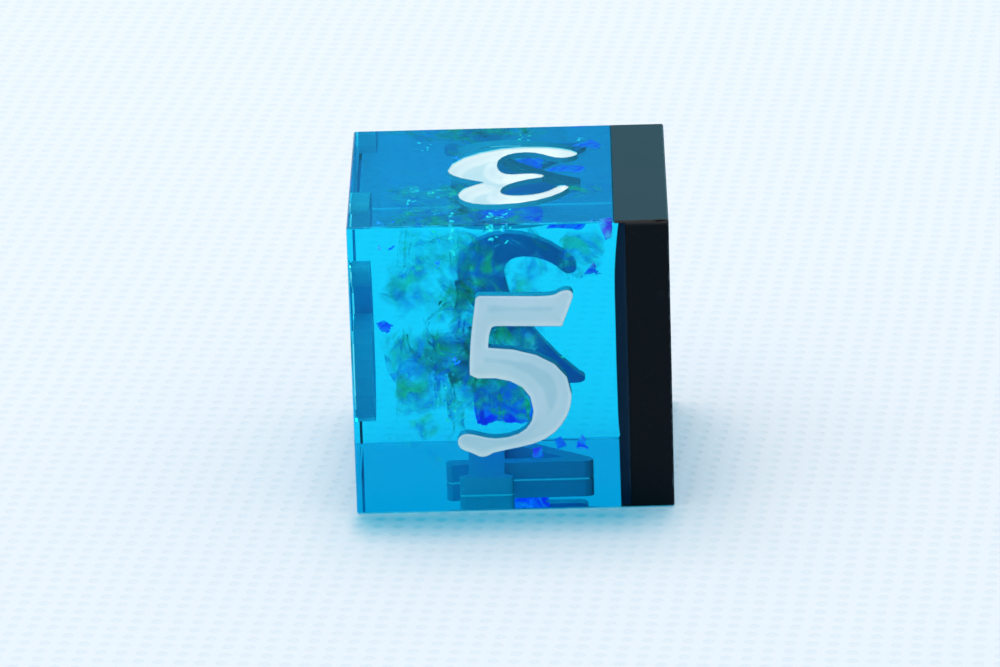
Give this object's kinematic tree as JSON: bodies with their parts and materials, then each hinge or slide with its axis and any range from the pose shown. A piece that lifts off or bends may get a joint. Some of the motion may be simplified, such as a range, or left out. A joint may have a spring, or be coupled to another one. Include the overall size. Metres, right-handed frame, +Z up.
{
  "type": "six-sided die",
  "caption": "Sharp-edged six-sided die of clear blue casting resin with crumpled film inside, an opaque black cap layer, and engraved numerals filled with white paint.",
  "frame": {"origin": "middle of the resting face, which carries the 4", "axes": "+X towards the black cap layer, -Y out of the face of the 5, +Z up, out of the face of the 3"},
  "size_m": [0.0168, 0.016, 0.016],
  "materials": {
    "clear_blue_resin": "polished, clear",
    "black_resin": "polished, opaque",
    "numeral_paint": "satin pearl paint",
    "film_blue": "iridescent film",
    "film_green": "iridescent film",
    "film_aqua": "iridescent film"
  },
  "bodies": {
    "root": {"resin_body": "clear_blue_resin", "black_cap_layer": "black_resin", "numeral_fill_1": "numeral_paint", "numeral_fill_2": "numeral_paint", "numeral_fill_3": "numeral_paint", "numeral_fill_4": "numeral_paint", "numeral_fill_5": "numeral_paint", "numeral_fill_6": "numeral_paint", "film_main_sheet": "film_green", "film_upper_sheet": "film_aqua", "film_left_swirl": "film_aqua", "film_front_swirl": "film_green", "film_top_swirl": "film_aqua", "film_deep_panel": "film_blue", "film_side_veil": "film_aqua", "film_back_curl": "film_green", "film_glint_ribbon": "film_aqua", "film_low_ribbon": "film_aqua", "film_green_streak": "film_green", "film_green_leaf": "film_green", "film_corner_flake": "film_blue", "film_cap_flake": "film_blue", "film_back_flake": "film_blue", "film_arm_flake": "film_blue", "film_fish_flake": "film_aqua", "film_violet_flake": "film_blue", "film_teal_flake": "film_green", "film_low_flake_left": "film_blue", "film_low_flake_middle": "film_blue", "film_low_flake_right": "film_blue", "film_upper_chips": "film_aqua", "film_middle_chips": "film_green", "film_lower_chips": "film_aqua"}
  },
  "joints": []
}
